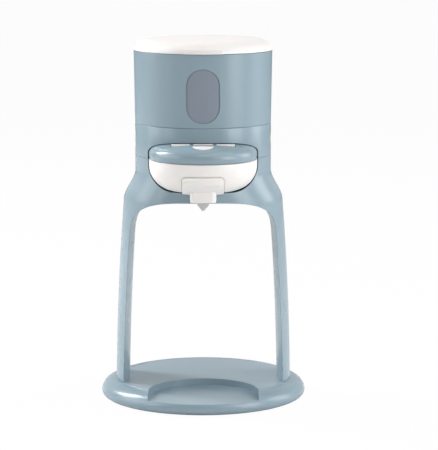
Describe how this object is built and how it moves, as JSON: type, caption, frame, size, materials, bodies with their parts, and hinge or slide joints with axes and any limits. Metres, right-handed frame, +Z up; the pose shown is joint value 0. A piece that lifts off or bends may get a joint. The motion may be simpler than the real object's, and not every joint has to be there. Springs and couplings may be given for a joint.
{
  "type": "baby formula maker",
  "caption": "Countertop formula maker: lift-off water tank with hinged lid on an arched frame, mixing drawer with flip cap and nozzle above a sunk bottle stand.",
  "frame": {"origin": "centre of the round foot's underside, at table height", "axes": "+Z up, the bottle stand and the drawer face -Y, +X to the right seen from the front"},
  "size_m": [0.18, 0.18, 0.317],
  "materials": {
    "shell_blue": "satin",
    "white_plastic": "satin",
    "dark_plastic": "matte",
    "steel": "brushed",
    "dark_rubber": "matte",
    "soft_rubber": "matte",
    "rail_plastic": "satin",
    "board_green": "satin",
    "clear_plastic": "clear",
    "window_grey": "smoked clear"
  },
  "bodies": {
    "stand": {"base_shell": "shell_blue", "base_cover": "dark_plastic", "base_ballast": "steel", "base_pads": "dark_rubber", "base_screws": "steel", "leg_screws": "steel", "arch_frame": "shell_blue", "leg_cover_left": "shell_blue", "leg_cover_right": "shell_blue", "service_cover": "shell_blue", "service_screws": "steel", "head_ring": "shell_blue", "tank_deck": "dark_plastic", "deck_seal": "soft_rubber", "deck_screws": "steel", "drawer_rail_left": "rail_plastic", "drawer_rail_right": "rail_plastic", "heater": "steel", "thermal_switch": "dark_plastic", "pump": "dark_plastic", "inlet_tube": "soft_rubber", "pump_tube": "soft_rubber", "outlet_tube": "soft_rubber", "water_spout": "white_plastic", "power_board": "board_green", "power_inlet": "dark_plastic", "control_board": "board_green", "start_switch": "dark_plastic", "selector_board": "board_green", "selector_switch": "dark_plastic", "light_ring": "white_plastic"},
    "tank": {"tank_sleeve": "shell_blue", "tank_liner": "clear_plastic", "level_window": "window_grey", "tank_valve": "soft_rubber", "sleeve_hinge_pin": "steel"},
    "lid": {"tank_lid": "white_plastic", "lid_seal": "soft_rubber"},
    "drawer": {"mixing_bowl": "white_plastic", "drawer_arm_left": "white_plastic", "drawer_arm_right": "white_plastic", "rear_cap": "shell_blue", "hinge_bracket": "white_plastic", "cap_pin": "steel", "nozzle_clip": "white_plastic", "nozzle_tip": "soft_rubber", "outlet_strainer": "white_plastic"},
    "drawer_cap": {"front_cap": "shell_blue", "thumb_leaf": "white_plastic"},
    "button": {"start_button": "white_plastic"},
    "selector": {"selector_knob": "white_plastic"}
  },
  "joints": [
    {"name": "tank_lift", "type": "slide", "parent": "stand", "child": "tank", "axis": [0, 0, 1], "range_m": [0, 0.07]},
    {"name": "tank_lid_hinge", "type": "hinge", "parent": "tank", "child": "lid", "pos_m": [0, 0.0632, 0.307], "axis": [-1, 0, 0], "range_deg": [0, 100]},
    {"name": "drawer_slide", "type": "slide", "parent": "stand", "child": "drawer", "axis": [0, -1, 0], "range_m": [0, 0.036]},
    {"name": "drawer_cap_hinge", "type": "hinge", "parent": "drawer", "child": "drawer_cap", "pos_m": [0, -0.0615, 0.2298], "axis": [-1, 0, 0], "range_deg": [0, 75]},
    {"name": "start_button_press", "type": "slide", "parent": "stand", "child": "button", "axis": [-1, 0, 0], "range_m": [0, 0.0008], "stiffness_N_per_m": 900},
    {"name": "selector_turn", "type": "hinge", "parent": "stand", "child": "selector", "pos_m": [-0.059, 0, 0.2298], "axis": [-1, 0, 0], "range_deg": [-135, 135]}
  ]
}
